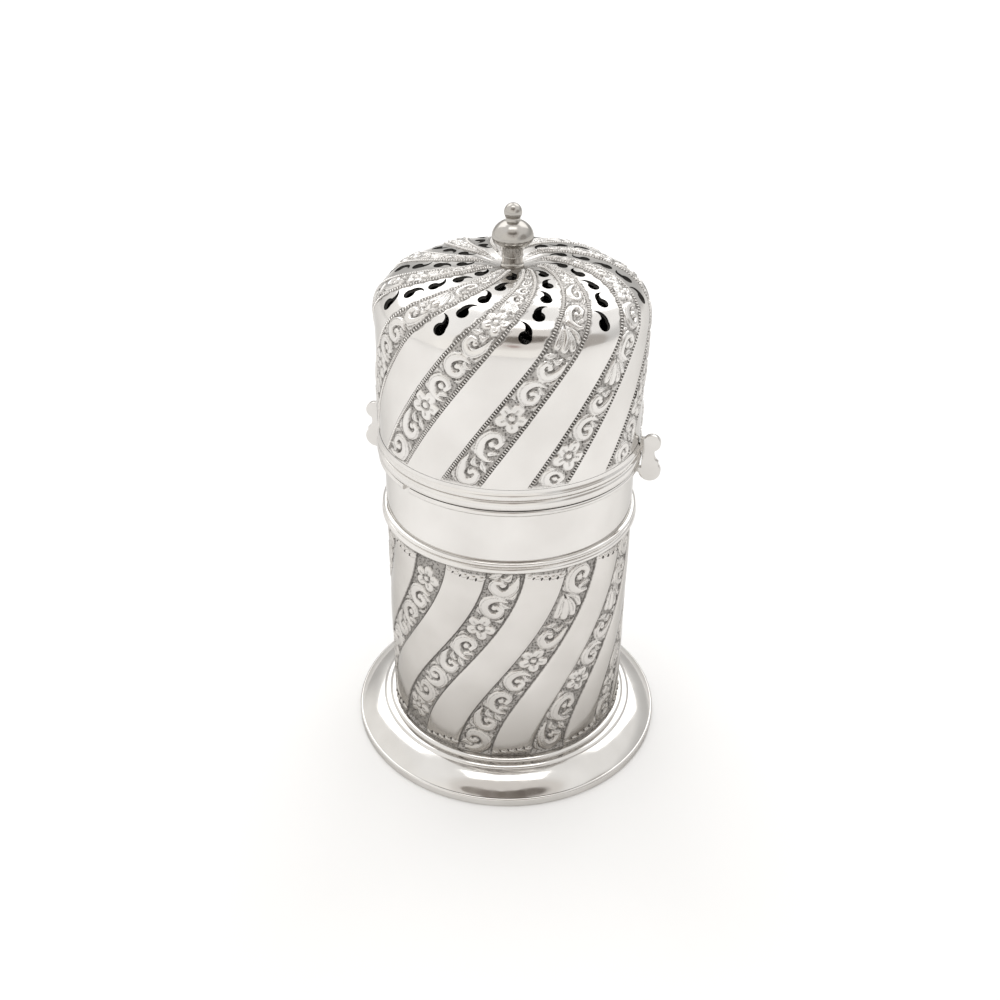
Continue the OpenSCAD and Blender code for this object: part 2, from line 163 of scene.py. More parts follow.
def silver(name, bright, dull, smooth, rough, stipple=False, low_shade=None):
    """Silver with soft patches, fine rubbing marks, and darkened stippled ground where 'recess' is high.

    Low shade is a colour and two heights in metres, between which the tone fades downwards into it: painted
    shade, darker towards the bottom.
    """
    made = bpy.data.materials.new(name)
    made.use_nodes = True
    tree = made.node_tree
    shader = tree.nodes["Principled BSDF"]
    shader.inputs["Metallic"].default_value = 1.0
    shader.inputs["Specular Tint"].default_value = edge_tint
    place = tree.nodes.new("ShaderNodeTexCoord").outputs["Object"]

    def noise(scale, detail):
        node = tree.nodes.new("ShaderNodeTexNoise")
        node.inputs["Scale"].default_value = scale
        node.inputs["Detail"].default_value = detail
        link(tree, place, node.inputs["Vector"])
        return node.outputs["Fac"]

    def spread(value, low, high, to_low, to_high):
        node = tree.nodes.new("ShaderNodeMapRange")
        link(tree, value, node.inputs["Value"])
        for key, number in (("From Min", low), ("From Max", high), ("To Min", to_low), ("To Max", to_high)):
            node.inputs[key].default_value = number
        return node.outputs["Result"]

    def math_node(operation, a, b):
        node = tree.nodes.new("ShaderNodeMath")
        node.operation = operation
        for socket, value in zip(node.inputs, (a, b)):
            if isinstance(value, (int, float)):
                socket.default_value = value
            else:
                link(tree, value, socket)
        return node.outputs[0]

    def mix(factor, a, b):
        node = tree.nodes.new("ShaderNodeMix")
        node.data_type = "RGBA"
        link(tree, factor, node.inputs["Factor"])
        for socket, value in ((node.inputs[6], a), (node.inputs[7], b)):
            if isinstance(value, tuple):
                socket.default_value = (*value, 1)
            else:
                link(tree, value, socket)
        return node.outputs[2]

    patches = spread(noise(patch_scale, 3), 0.35, 0.65, 0, 1)
    tone = mix(patches, bright, dull)
    # Painted shade: the tone darkens downwards between two heights
    if low_shade:
        axes = tree.nodes.new("ShaderNodeSeparateXYZ")
        link(tree, place, axes.inputs[0])
        tone = mix(spread(axes.outputs["Z"], low_shade[1], low_shade[2], 0, 1), tone, low_shade[0])
    gloss = spread(noise(gloss_scale, 5), 0.3, 0.7, smooth, rough)
    height = math_node("ADD", noise(wave_scale, 2), math_node("MULTIPLY", noise(rub_scale, 3), rub_share))
    if stipple:
        attribute = tree.nodes.new("ShaderNodeAttribute")
        attribute.attribute_name = "recess"
        recess = attribute.outputs["Fac"]
        cells = tree.nodes.new("ShaderNodeTexVoronoi")
        cells.inputs["Scale"].default_value = stipple_scale
        link(tree, place, cells.inputs["Vector"])
        dots = spread(cells.outputs["Distance"], 0.6, 0.25, 0, 1)
        ground = math_node("MINIMUM", recess, math_node("SUBTRACT", 2.0, recess))
        punched = math_node("MULTIPLY", dots, ground)
        tone = mix(math_node("MULTIPLY", recess, 0.85), tone, ground_silver)
        tone = mix(math_node("MULTIPLY", punched, 0.8), tone, dark_silver)
        # Darkness above 1 is painted shade, taken towards near black
        tone = mix(math_node("SUBTRACT", recess, 1.0), tone, dark_silver)
        gloss = math_node("ADD", gloss, math_node("MULTIPLY", recess, 0.25))
        height = math_node("SUBTRACT", height, math_node("MULTIPLY", punched, 0.9))
    bump = tree.nodes.new("ShaderNodeBump")
    bump.inputs["Strength"].default_value = 0.5
    bump.inputs["Distance"].default_value = bump_depth
    link(tree, height, bump.inputs["Height"])
    link(tree, tone, shader.inputs["Base Color"])
    link(tree, gloss, shader.inputs["Roughness"])
    link(tree, bump.outputs["Normal"], shader.inputs["Normal"])
    return made


bright_silver = (0.79, 0.772, 0.75)
dull_silver = (0.72, 0.70, 0.677)
# A darker silver for the barrel: painted shade for the shadowed floor it reflects
barrel_shade_silver = (0.71, 0.687, 0.661)
barrel_shade_dull = (0.63, 0.607, 0.58)
# Colour of the painted shade low on the barrel
low_shade_silver = (0.47, 0.448, 0.421)
ground_silver = (0.35, 0.333, 0.316)
dark_silver = (0.06, 0.055, 0.05)
foot_silver = (0.71, 0.692, 0.67)
foot_worn = (0.64, 0.62, 0.596)
knob_silver = (0.54, 0.518, 0.49)
knob_worn = (0.44, 0.42, 0.392)
# A darker silver for insides: painted shade
inner_silver = (0.30, 0.29, 0.27)
inside_shade_dull = (0.22, 0.21, 0.20)
# Near black for the inside of the cover: painted shade
hollow_shade_silver = (0.06, 0.058, 0.055)
hollow_shade_dull = (0.04, 0.038, 0.036)
# Heights of the painted shade on the barrel, which darkens from the first down to the second
low_shade_top = 0.029
low_shade_bottom = 0.007
polished = silver("polished_silver", bright_silver, dull_silver, 0.05, 0.14)
chased = silver("chased_silver", bright_silver, dull_silver, 0.08, 0.18, True)
# The barrel's silver is a darker copy, as painted shade, with the stippled ground
barrel_shaded = silver("barrel_shade_silver", barrel_shade_silver, barrel_shade_dull, 0.09, 0.2, True,
                (low_shade_silver, low_shade_top, low_shade_bottom))
foot_finish = silver("foot_silver", foot_silver, foot_worn, 0.06, 0.17)
knob_finish = silver("knob_silver", knob_silver, knob_worn, 0.13, 0.24)
inner = silver("inner_silver", inner_silver, inside_shade_dull, 0.35, 0.5)
hollow = silver("hollow_shade_silver", hollow_shade_silver, hollow_shade_dull, 0.4, 0.6)


# Making pieces
def add(name, data):
    """A new object in the scene."""
    made = bpy.data.objects.new(name, data)
    bpy.context.scene.collection.objects.link(made)
    return made


def piece(name, points, faces, body, nodes, material):
    """A mesh in millimetres becomes a smooth piece that rides on a body and stands for solids."""
    mesh = bpy.data.meshes.new(name)
    mesh.from_pydata((np.asarray(points) * MM).tolist(), [], faces)
    mesh.shade_smooth()
    mesh.materials.append(material)
    made = add(name, mesh)
    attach(made, body)
    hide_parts(*nodes)
    return made


def paint(made, values):
    """Stores each point's darkness: 0 on bright metal, 1 on the stippled ground, up to 2 where shade is
    painted into band edges, scroll hollows and cuts.
    """
    layer = made.data.attributes.new("recess", "FLOAT", "POINT")
    layer.data.foreach_set("value", np.asarray(values, np.float32).ravel())


def grid_faces(rows, columns, first=0):
    """Quads of a grid that closes on itself in both directions."""
    i, j = np.meshgrid(np.arange(rows), np.arange(columns), indexing="ij")
    below = i * columns
    above = (i + 1) % rows * columns
    right = (j + 1) % columns
    return first + np.stack([below + j, below + right, above + right, above + j], -1).reshape(-1, 4)


def arc(centre, radii, start, stop, steps):
    """Points of an ellipse arc; angles in degrees, 0 outwards and 90 up."""
    turns = np.radians(np.linspace(start, stop, steps + 1))
    return [(centre[0] + radii[0] * math.cos(a), centre[1] + radii[1] * math.sin(a)) for a in turns]


def half_round(wall_r, out, z, h):
    """Outline of a half-round wire that stands out from a wall."""
    return arc((wall_r, z + h / 2), (out, h / 2), -90, 90, 24)


def lathe(name, outline, body, nodes, material, steps=256):
    """A closed outline of radius and height pairs, turned round the axis; its corners stay crisp."""
    outline = np.array(outline)
    turns = np.radians(np.arange(steps) * 360 / steps)
    r = outline[:, :1]
    points = np.stack([r * np.cos(turns), r * np.sin(turns), outline[:, 1:] + 0 * turns], -1).reshape(-1, 3)
    made = piece(name, points, grid_faces(len(outline), steps).tolist(), body, nodes, material)
    made.data.set_sharp_from_angle(angle=math.radians(36))
    return made


def softened(name, node, width, body, material, inward=0):
    """A copy of a solid whose edges are rounded over; inward moves it towards the axis along x."""
    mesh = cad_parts[node].data.copy()
    shape = bmesh.new()
    shape.from_mesh(mesh)
    bmesh.ops.remove_doubles(shape, verts=shape.verts, dist=0.005 * MM)
    bmesh.ops.dissolve_limit(shape, angle_limit=math.radians(1), verts=shape.verts, edges=shape.edges)
    sharp = [e for e in shape.edges if len(e.link_faces) == 2 and e.calc_face_angle() > math.radians(40)]
    bmesh.ops.bevel(shape, geom=sharp, offset=width * MM, segments=3, profile=0.5, affect="EDGES",
                    clamp_overlap=True)
    points = np.array([v.co for v in shape.verts]) / MM
    points[:, 0] -= inward * np.sign(points[:, 0])
    shape.verts.index_update()
    faces = [[v.index for v in f.verts] for f in shape.faces]
    shape.free()
    bpy.data.meshes.remove(mesh)
    made = piece(name, points, faces, body, [node], material)
    made.data.set_sharp_from_angle(angle=math.radians(30))
    return made


# Ornament: strokes in a cell two wide and two high, as control points and half widths along the stroke
hook_scroll = [
    ([(-0.9, -0.72), (-0.3, -0.88), (0.36, -0.7), (0.6, -0.1), (0.42, 0.48), (-0.08, 0.68), (-0.52, 0.44),
      (-0.48, 0.06)], (0.08, 0.26, 0.36, 0.4, 0.36, 0.3, 0.24, 0.2)),
    ([(-0.06, 0.0), (0.0, 0.06)], (0.24, 0.26)),
    ([(-0.36, -0.52), (-0.6, -0.32), (-0.97, -0.2)], (0.18, 0.2, 0.04)),
    ([(0.5, 0.97), (0.86, 0.8), (0.97, 0.42)], (0.03, 0.15, 0.03)),
    ([(0.5, -0.97), (0.86, -0.8), (0.97, -0.44)], (0.03, 0.13, 0.03)),
    ([(-0.3, 0.26), (0.02, 0.38), (0.27, 0.1), (0.14, -0.26), (-0.26, -0.3)],
     (0.04, 0.09, 0.1, 0.09, 0.04))]
curl_scroll = [
    ([(0.62, 0.88), (-0.1, 0.8), (-0.58, 0.34), (-0.56, -0.28), (-0.06, -0.64), (0.48, -0.46), (0.58, 0.02),
      (0.24, 0.18)], (0.1, 0.3, 0.4, 0.42, 0.36, 0.28, 0.22, 0.22)),
    ([(0.06, 0.1), (0.02, 0.02)], (0.22, 0.24)),
    ([(0.3, 0.56), (0.64, 0.44), (0.97, 0.56)], (0.14, 0.2, 0.04)),
    ([(0.56, -0.97), (0.88, -0.78), (0.97, -0.36)], (0.03, 0.15, 0.03)),
    ([(-0.97, -0.5), (-0.86, -0.82), (-0.46, -0.97)], (0.03, 0.14, 0.03)),
    ([(0.16, 0.38), (-0.16, 0.26), (-0.24, -0.06), (0.0, -0.27), (0.3, -0.14)],
     (0.04, 0.09, 0.1, 0.09, 0.04))]
arch_scroll = [
    ([(-0.8, -0.86), (-0.72, -0.06), (-0.36, 0.52), (0.14, 0.66), (0.58, 0.38), (0.56, -0.1), (0.2, -0.2)],
     (0.08, 0.3, 0.4, 0.4, 0.32, 0.24, 0.22)),
    ([(-0.02, -0.02), (0.04, 0.02)], (0.2, 0.22)),
    ([(-0.36, -0.9), (-0.2, -0.56), (0.2, -0.56)], (0.08, 0.24, 0.08)),
    ([(0.24, -0.92), (0.56, -0.66), (0.96, -0.5)], (0.06, 0.26, 0.05)),
    ([(-0.97, 0.3), (-0.86, 0.76), (-0.42, 0.97)], (0.03, 0.14, 0.03)),
    ([(-0.26, -0.22), (-0.26, 0.08), (0.0, 0.28), (0.26, 0.12)], (0.04, 0.1, 0.1, 0.04))]
shell_leaf = [
    ([(-0.7, -0.84), (-0.3, -0.36), (0.0, 0.12), (0.1, 0.58)], (0.14, 0.22, 0.33, 0.3)),
    ([(-0.56, -0.8), (0.06, -0.42), (0.42, -0.1), (0.66, 0.24)], (0.1, 0.2, 0.3, 0.26)),
    ([(-0.5, -0.88), (0.1, -0.8), (0.5, -0.66), (0.82, -0.4)], (0.08, 0.16, 0.24, 0.2)),
    ([(-0.76, -0.7), (-0.66, -0.16), (-0.54, 0.3), (-0.5, 0.66)], (0.1, 0.2, 0.3, 0.26)),
    ([(0.5, 0.97), (0.84, 0.84), (0.97, 0.56)], (0.03, 0.14, 0.03)),
    ([(-0.7, -0.86), (-0.54, -0.68)], (0.08, 0.08))]
motifs = [hook_scroll, curl_scroll, arch_scroll, hook_scroll, curl_scroll, arch_scroll, shell_leaf]

# A motif's cell is this many half widths of the band long
cell_share = 2.4

# Strokes of the ornament: half widths, depths and heights as shares, and darkness
hollow_depth = 0.85
# The hollow's darkness is painted shade
hollow_shade_tone = 1.6
line_half = 0.12
line_depth = 0.2
line_tone = 0.5
vein_half = 0.11
vein_depth = 0.3
vein_tone = 0.6
leaf_height = 0.75
ground_height = 0.45
spot_flat = 1.2
spot_power = 0.55


def smooth_path(control, steps):
    """Points of a smooth curve through the control points."""
    p = np.array(control)
    p = np.vstack([2 * p[0] - p[1], p, 2 * p[-1] - p[-2]])
    at = np.linspace(0, len(control) - 1, steps)
    k = np.minimum(at.astype(int), len(control) - 2)
    t = (at - k)[:, None]
    a, b, c, d = p[k], p[k + 1], p[k + 2], p[k + 3]
    square = 2 * a - 5 * b + 4 * c - d
    cube = 3 * b - a - 3 * c + d
    return 0.5 * (2 * b + (c - a) * t + square * t ** 2 + cube * t ** 3)


class Band:
    """A band's heights and darkness, at points given by distance across it and along it."""

    def __init__(self, across, along):
        self.across = across
        self.along = along
        self.low = along.min(1)
        self.high = along.max(1)
        self.field = np.zeros(across.shape)
        self.dark = np.zeros(across.shape)

    def spots(self, x, y, half):
        """Round spots from 0 to 1, and the rows that they touch; many in a row make a stroke."""
        near = (self.high > (y - half).min()) & (self.low < (y + half).max())
        apart = (self.across[near][:, :, None] - x) ** 2 + (self.along[near][:, :, None] - y) ** 2
        return near, np.clip(spot_flat * (1 - apart / half ** 2), 0, 1).max(-1) ** spot_power

    def raised(self, x, y, half, height):
        """Lifts a stroke to a height; what stands higher already stays."""
        near, dome = self.spots(x, y, half)
        self.field[near] = np.maximum(self.field[near], dome * height)

    def sunk(self, x, y, half, depth, tone):
        """Cuts a stroke by a share of the height there, and darkens it."""
        near, dome = self.spots(x, y, half)
        self.field[near] *= 1 - depth * dome
        self.dark[near] = np.maximum(self.dark[near], tone * dome)

    def scroll(self, wide, middle, half_length, motif, flip_x, flip_y):
        """One motif, fitted to the band's width at each of its points.

        Its first stroke is its body, its last a hollow painted dark as shade, and those between are leaves
        and bosses.
        """
        for number, (control, widths) in enumerate(motif):
            line = smooth_path(control, 90 if number == 0 else 24)
            share = np.linspace(0, 1, len(line))
            y = middle + flip_y * line[:, 1] * half_length
            x = flip_x * line[:, 0] * wide(y)
            half = np.interp(share, np.linspace(0, 1, len(widths)), widths) * wide(middle)
            # The last stroke sinks and is painted dark as shade
            if number == len(motif) - 1:
                self.sunk(x, y, half, hollow_depth, hollow_shade_tone)
                continue
            self.raised(x, y, half, 1.0 if number == 0 else leaf_height)
            cut = (share > 0.12) & (share < 0.85)
            if number == 0:
                # A fine line along the body's outer side
                dx, dy = np.gradient(x), np.gradient(y)
                bend = np.sign(np.sum(dx * np.gradient(dy) - dy * np.gradient(dx)))
                aside = 0.5 * bend * half / np.hypot(dx, dy)
                x, y = x + dy * aside, y - dx * aside
                self.sunk(x[cut], y[cut], np.full(cut.sum(), line_half), line_depth, line_tone)
            elif len(control) > 2:
                self.sunk(x[cut], y[cut], np.maximum(0.16 * half[cut], vein_half), vein_depth, vein_tone)

    def flower(self, middle, size):
        """Five round petals about a boss."""
        for petal in range(5):
            a = math.radians(90 + 72 * petal)
            out = np.linspace(0.42, 0.64, 5) * size
            self.raised(out * math.cos(a), middle + out * math.sin(a),
                        np.array([0.2, 0.3, 0.36, 0.38, 0.38]) * size, 0.9)
            vein = np.linspace(0.42, 0.62, 6) * size
            self.sunk(vein * math.cos(a), middle + vein * math.sin(a), np.full(6, 0.06 * size), vein_depth,
                      vein_tone)
        around = np.radians(np.arange(0, 360, 10))
        self.sunk(0.27 * size * np.cos(around), middle + 0.27 * size * np.sin(around),
                  np.full(len(around), 0.09 * size), 0.5, 1.0)
        self.raised(np.zeros(1), np.array([middle]), np.array([0.24 * size]), 1.0)

    def fill(self, low, high, flowers, wide, flower_r, first):
        """Flowers where they are asked for, scrolls between them, and ground elsewhere."""
        ends = [low]
        for middle in flowers:
            size = min(flower_r, 1.25 * float(wide(middle)))
            self.flower(middle, size)
            ends += [middle - 0.96 * size, middle + 0.96 * size]
        ends.append(high)
        count = first
        for start, stop in zip(ends[0::2], ends[1::2]):
            room = float(wide((start + stop) / 2))
            if stop - start < cell_share / 2 * room:
                continue
            cells = max(1, round((stop - start) / (cell_share * room)))
            half = (stop - start) / cells / 2
            for i in range(cells):
                side = 1 if count % 2 else -1
                up = 1 if count // 2 % 2 else -1
                motif = motifs[count % len(motifs)]
                self.scroll(wide, start + (2 * i + 1) * half, 0.98 * half, motif, side, up)
                count += 1
        self.dark = np.maximum(self.dark, np.clip(1 - self.field / ground_height, 0, 1))


# One band's columns: fine over the chased part, coarse over the plain part
chased_columns = 50
plain_columns = 7
step_angle = 0.45
chased_angles = np.linspace(-half_chased, half_chased, chased_columns + 1)
plain_angles = np.linspace(half_chased + step_angle, pitch - half_chased - step_angle, plain_columns + 1)
column_angles = np.concatenate([chased_angles, plain_angles])
column_share = np.clip((column_angles - pitch / 2) / (half_plain - step_angle), -1, 1)
per_band = len(column_angles)
is_chased = np.arange(per_band) <= chased_columns
all_angles = (np.arange(bands)[:, None] * pitch + column_angles).ravel()
columns = bands * per_band


def grid_normals(points):
    """Normals of a grid that closes round the axis."""
    wrapped = np.concatenate([points[:, -1:], points, points[:, :1]], 1)
    found = np.cross(wrapped[:, 2:] - wrapped[:, :-2], np.gradient(points, axis=0))
    return found / np.linalg.norm(found, axis=-1, keepdims=True)


def half_sheet(name, half, grid, normals, dark, keep, extra, body, nodes, material):
    """Half of a chased sheet as a piece; extra holds further points, normals and faces of that half."""
    count = columns // 2 + 1
    ids = (half * (columns // 2) + np.arange(count)) % columns
    points = np.concatenate([grid[:, ids].reshape(-1, 3), extra[0]])
    across, up = np.meshgrid(np.arange(count - 1), np.arange(len(grid) - 1))
    low = up * count + across
    quads = np.stack([low, low + 1, low + count + 1, low + count], -1)[keep[:, ids[:-1]]]
    faces = quads.tolist() + extra[2]
    used = np.unique(np.concatenate([quads.ravel(), np.ravel(extra[2]).astype(int)]))
    place = np.zeros(len(points), int)
    place[used] = np.arange(len(used))
    faces = [place[f].tolist() for f in faces]
    made = piece(name, points[used], faces, body, nodes, material)
    paint(made, np.concatenate([dark[:, ids].ravel(), np.zeros(len(extra[0]))])[used])
    directions = np.concatenate([normals[:, ids].reshape(-1, 3), extra[1]])[used]
    made.data.normals_split_custom_set_from_vertices(directions.tolist())


nothing = (np.zeros((0, 3)), np.zeros((0, 3)), [])


# Barrel
def barrel_swirl(z):
    """How far the bands have turned at a height, in degrees."""
    v = np.clip((2 * z - chase_low_z - chase_high_z) / (chase_high_z - chase_low_z), -1, 1)
    return barrel_phase + barrel_turn / 2 * (v - barrel_ogee * v ** 3) / (1 - barrel_ogee)


def barrel_fade(z):
    """1 over the chased height, easing to 0 at both ends."""
    return ease((z - chase_low_z) / fade_h) * ease((chase_high_z - z) / fade_h)


def barrel_point(angle, z, out):
    """A point of the barrel; the angle is measured from the middle of the first chased band."""
    a = np.radians(angle + barrel_swirl(z))
    r = barrel_r + out
    return np.stack([r * np.cos(a), r * np.sin(a), z + 0 * a], -1)


def slope_along(swirl, run, radius):
    """A band's slope against the axis, and its length from the first run."""
    lean = radius * np.gradient(np.radians(swirl), run)
    slope = np.arctan(lean)
    steps = np.diff(run) * np.hypot(1, (lean[1:] + lean[:-1]) / 2)
    return slope, np.concatenate([[0], np.cumsum(steps)])


def border_hang(share):
    """How far a plain band's leafy border hangs from the band's end, by the place across the band."""
    return 1.75 + 0.6 * share - 0.3 * share ** 2


def make_barrel():
    """The barrel's outer face in two halves."""
    row_h = 0.168
    fine = np.linspace(chase_low_z, chase_high_z, round((chase_high_z - chase_low_z) / row_h))
    z = np.concatenate([[barrel_z], fine, [joint_z]])
    margin = 0.5
    end_margin = 0.4
    flower_r = 3.4
    first_flower_z = 35
    flower_shift = 9
    flower_step = 30
    edge_shadow_tone = 1.6
    strip_tone = 0.95
    strip_share = 0.62
    strip_soft = 0.15
    end_fade = 0.3
    flower_low = 3
    flower_high = 4
    edge_w = 0.35
    edge_soft = 0.2
    ground_r = barrel_r - chase_depth
    half_width = math.radians(half_chased) * ground_r
    slope, length = slope_along(barrel_swirl(z), z, ground_r)
    offset = np.radians(chased_angles) * ground_r + 0 * z[:, None]
    across = offset * np.cos(slope)[:, None]
    along = length[:, None] + offset * np.sin(slope)[:, None]
    # A painted shadow line along both edges of each chased band, at its step to the plain band
    edge = np.clip((np.abs(offset) - half_width + edge_w) / edge_soft, 0, 1)
    fade = barrel_fade(z)[:, None]
    relief_h = 0.5
    heights = np.zeros((len(z), bands, per_band))
    dark = np.zeros((len(z), bands, per_band))
    heights[:, :, ~is_chased] = plain_swell * (1 - column_share[~is_chased] ** 2)

    def room(y):
        return half_width * np.cos(np.interp(y, length, slope)) - margin

    for k in range(bands):
        start = first_flower_z - flower_shift * (k + 2)
        places = [start + flower_step * m for m in range(-2, 5)]
        flowers = [p for p in places if chase_low_z + flower_low < p < chase_high_z - flower_high]
        band = Band(across, along)
        band.fill(length[1] + end_margin, length[-2] - end_margin, np.interp(flowers, z, length), room,
                  flower_r, k)
        heights[:, k, is_chased] = -chase_depth + relief_h * band.field
        dark[:, k, is_chased] = np.maximum(band.dark, edge_shadow_tone * edge)
    for end, way in ((chase_high_z, -1), (chase_low_z, 1)):
        depth = way * (z[:, None] - end) / border_hang(column_share[~is_chased])
        strip = strip_tone * ease((strip_share - depth) / strip_soft) * (depth > 0)
        dark[:, :, ~is_chased] = np.maximum(dark[:, :, ~is_chased], strip[:, None])
    grid = barrel_point(all_angles, z[:, None], heights.reshape(len(z), -1) * fade)
    low_fade = ease((z - chase_low_z) / end_fade)
    high_fade = ease((chase_high_z - z) / end_fade)
    dark = dark.reshape(len(z), -1) * low_fade[:, None] * high_fade[:, None]
    normals = grid_normals(grid)
    keep = np.ones((len(z) - 1, columns), bool)
    for half, name in enumerate(("barrel_relief_a", "barrel_relief_b")):
        half_sheet(name, half, grid, normals, dark, keep, nothing, "body", ["barrel"], barrel_shaded)


make_barrel()


# Cover: its half section as radius, height and normal along the running length from the seam
def dome_section():
    """Radius and height pairs of the dome, from its spring to the crown."""
    stop = math.acos((1.5 / cover_r) ** (dome_power / 2))
    t = stop * (1 - np.linspace(1, 0, 6000) ** 1.5)
    r = cover_r * np.cos(t) ** (2 / dome_power)
    dip = np.where(r < crown_dip_r, crown_dip * (1 - (r / crown_dip_r) ** 2) ** 2, 0)
    return np.stack([r, spring_z + dome_h * np.sin(t) ** (2 / dome_power) - dip], 1)


section = np.concatenate([np.stack([np.full(400, cover_r), np.linspace(cover_z, spring_z, 401)[:-1]], 1),
                          dome_section()])
section_run = np.concatenate([[0], np.cumsum(np.linalg.norm(np.diff(section, axis=0), axis=1))])
section_slope = np.gradient(section, section_run, axis=0)
wall_h = spring_z - cover_z
cover_end = section_run[-1]


def along_cover(values, run):
    """A value of the section at a running length."""
    return np.interp(run, section_run, values)


def cover_swirl(run):
    """How far the bands have turned at a running length, in degrees."""
    u = run - moulding_h
    v = cover_phase_run - moulding_h
    return cover_phase + cover_lean * (u - v) + cover_lean_gain / 2 * (u * u - v * v)


def cover_fade(run):
    """1 over the chased part, easing to 0 at the moulding and at the crown."""
    r = along_cover(section[:, 0], run)
    return ease((run - moulding_h) / fade_h) * ease((r - stem_foot_r) / (2 * stem_foot_r))


def cover_point(angle, run, out):
    """A point of the cover; the angle is measured from the middle of the first chased band."""
    a = np.radians(angle + cover_swirl(run))
    r = along_cover(section[:, 0], run) + out * along_cover(section_slope[:, 1], run)
    z = along_cover(section[:, 1], run) - out * along_cover(section_slope[:, 0], run)
    return np.stack([r * np.cos(a), r * np.sin(a), z + 0 * a], -1)


def run_at(radius):
    """Running length at which the dome has closed in to a radius."""
    return section_run[np.argmax((section[:, 0] < radius) & (section_run > wall_h))]


def plain_sheet(angle, run):
    """A point of a plain band of the cover, which is slightly hollow."""
    share = np.clip(((angle % pitch) - pitch / 2) / half_plain, -1, 1)
    return cover_point(angle, run, -plain_hollow * (1 - share ** 2) * cover_fade(run))


def comma_outline(head):
    """The comma's outline: down its back, round its head, up its belly."""
    def meet(centre, radius):
        d = np.linalg.norm(centre)
        a = (d * d + 1 - radius * radius) / (2 * d)
        h = math.sqrt(1 - a * a)
        u = centre / d
        return [u * a + np.array([-u[1], u[0]]) * h * s for s in (1, -1)]

    def bearing(point):
        return math.degrees(math.atan2(point[1], point[0]))

    right = max(meet(comma_back, comma_back_r), key=lambda p: p[0])
    left = max(meet(comma_belly, comma_belly_r), key=lambda p: p[1])
    belly_end = math.degrees(math.acos((comma_back[0] - comma_belly[0]) / comma_belly_r))
    outline = arc(comma_back, (comma_back_r,) * 2, 90, bearing(right - comma_back), 14)[:-1]
    outline += arc((0, 0), (1, 1), bearing(right), bearing(left) - 360, 22)[:-1]
    outline += arc(comma_belly, (comma_belly_r,) * 2, bearing(left - comma_belly), belly_end, 12)
    return np.array(outline) * head


def comma_loops():
    """Each comma's outline in a plain band, as distance from the band's middle and running length."""
    loops = []
    for i in range(commas):
        run = wall_h + comma_first + comma_step * i
        side = i % 2
        a = math.radians(comma_lean[side])
        lean = np.array([[math.cos(a), -math.sin(a)], [math.sin(a), math.cos(a)]])
        loop = comma_outline(comma_head + (comma_head_top - comma_head) * i / (commas - 1)) @ lean.T
        if side:
            loop = loop[::-1] * (-1, 1)
        runs = run + loop[:, 1]
        r = along_cover(section[:, 0], runs)
        aside = comma_offset * (1 - i / (commas - 1))
        angle = np.degrees((loop[:, 0] - aside) / along_cover(section[:, 0], run))
        angle = angle + cover_swirl(run) - cover_swirl(runs)
        reach = half_plain - np.degrees(comma_clear / r)
        loops.append(np.stack([np.radians(np.clip(angle, -reach, reach)) * r, runs], 1))
    return loops


def inside(points, loop):
    """Which points lie in a closed loop."""
    x, y = points[:, 0, None], points[:, 1, None]
    a, b = loop, np.roll(loop, -1, 0)
    crosses = (a[:, 1] > y) != (b[:, 1] > y)
    rise = np.where(b[:, 1] == a[:, 1], 1e-9, b[:, 1] - a[:, 1])
    left = x < a[:, 0] + (y - a[:, 1]) / rise * (b[:, 0] - a[:, 0])
    return (crosses & left).sum(1) % 2 == 1


def pierced_patch(border, loops):
    """Triangles over a plain band's patch, with the commas left open."""
    edges = []
    first = 0
    for loop in [border] + loops:
        count = len(loop)
        edges += [(first + i, first + (i + 1) % count) for i in range(count)]
        first += count
    lines = np.concatenate([border] + loops)
    half_span = 6
    xs = np.arange(-half_span, half_span, patch_step)
    ys = np.arange(border[:, 1].min(), border[:, 1].max(), patch_step)
    mesh_x, mesh_y = np.meshgrid(xs, ys)
    mesh_x = mesh_x + patch_step / 2 * (np.arange(len(ys)) % 2)[:, None]
    fill = np.stack([mesh_x.ravel(), mesh_y.ravel()], 1)
    fill = fill[inside(fill, border)]
    clear = np.min(np.linalg.norm(fill[:, None] - lines[None], axis=2), 1) > patch_clear
    fill = fill[clear]
    for loop in loops:
        fill = fill[~inside(fill, loop)]
    flat = np.concatenate([lines, fill])
    found = delaunay_2d_cdt([Vector(p) for p in flat.tolist()], edges, [], 0, 1e-6)
    source = [o[0] for o in found[3]]
    faces = np.array([[source[i] for i in f] for f in found[2]])
    middles = flat[faces].mean(1)
    keep = inside(middles, border)
    for loop in loops:
        keep &= ~inside(middles, loop)
    return flat, faces[keep]


